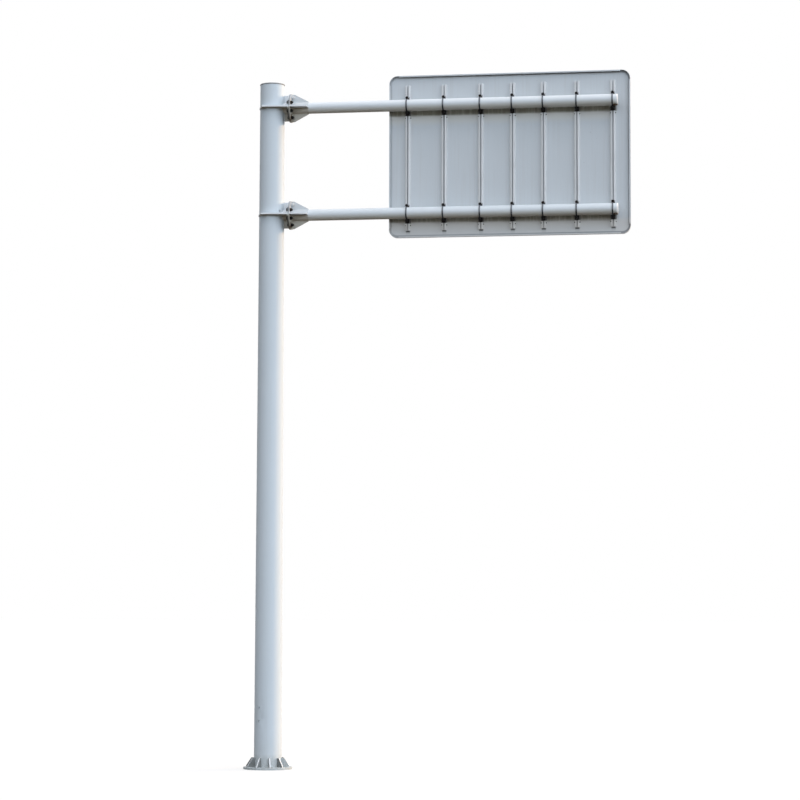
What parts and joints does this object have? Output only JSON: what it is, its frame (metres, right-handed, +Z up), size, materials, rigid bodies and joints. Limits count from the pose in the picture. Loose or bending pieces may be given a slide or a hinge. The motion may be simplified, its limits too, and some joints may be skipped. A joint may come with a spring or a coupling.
{
  "type": "cantilever sign gantry",
  "caption": "Cantilever sign gantry: tapered steel tube column on a gusseted base plate, with bolted tube arms carrying an aluminium sign panel on slotted rails and clamps.",
  "frame": {"origin": "centre of the underside of the base plate, at ground level on the column's axis", "axes": "+Z up along the column, +X from the column along the arms, -Y the side of the back of the sign"},
  "size_m": [3.8174, 0.481, 6.874],
  "materials": {
    "grey_white_paint": "pale grey-white coating over galvanised steel, satin",
    "panel_aluminium": "bare mill-finish sheet, matt",
    "rail_aluminium": "extruded, satin",
    "sign_facing": "blue reflective sheeting with a white border",
    "dark_steel": "dark weathered zinc with some rust"
  },
  "bodies": {
    "root": {"base_gussets": "grey_white_paint", "base_plate": "grey_white_paint", "column_cap": "grey_white_paint", "column_tube": "grey_white_paint", "lower_arm_cap": "grey_white_paint", "lower_arm_flange": "grey_white_paint", "lower_arm_ribs": "grey_white_paint", "lower_arm_tube": "grey_white_paint", "lower_clamp_saddles": "dark_steel", "lower_clamp_straps": "dark_steel", "lower_column_flange": "grey_white_paint", "lower_ring_plate": "grey_white_paint", "lower_stub": "grey_white_paint", "lower_webs": "grey_white_paint", "rail_1": "rail_aluminium", "rail_2": "rail_aluminium", "rail_3": "rail_aluminium", "rail_4": "rail_aluminium", "rail_5": "rail_aluminium", "rail_6": "rail_aluminium", "rail_7": "rail_aluminium", "sign_face": "sign_facing", "sign_panel": "panel_aluminium", "upper_arm_cap": "grey_white_paint", "upper_arm_flange": "grey_white_paint", "upper_arm_ribs": "grey_white_paint", "upper_arm_tube": "grey_white_paint", "upper_clamp_saddles": "dark_steel", "upper_clamp_straps": "dark_steel", "upper_column_flange": "grey_white_paint", "upper_ring_plate": "grey_white_paint", "upper_stub": "grey_white_paint", "upper_webs": "grey_white_paint"}
  },
  "joints": []
}
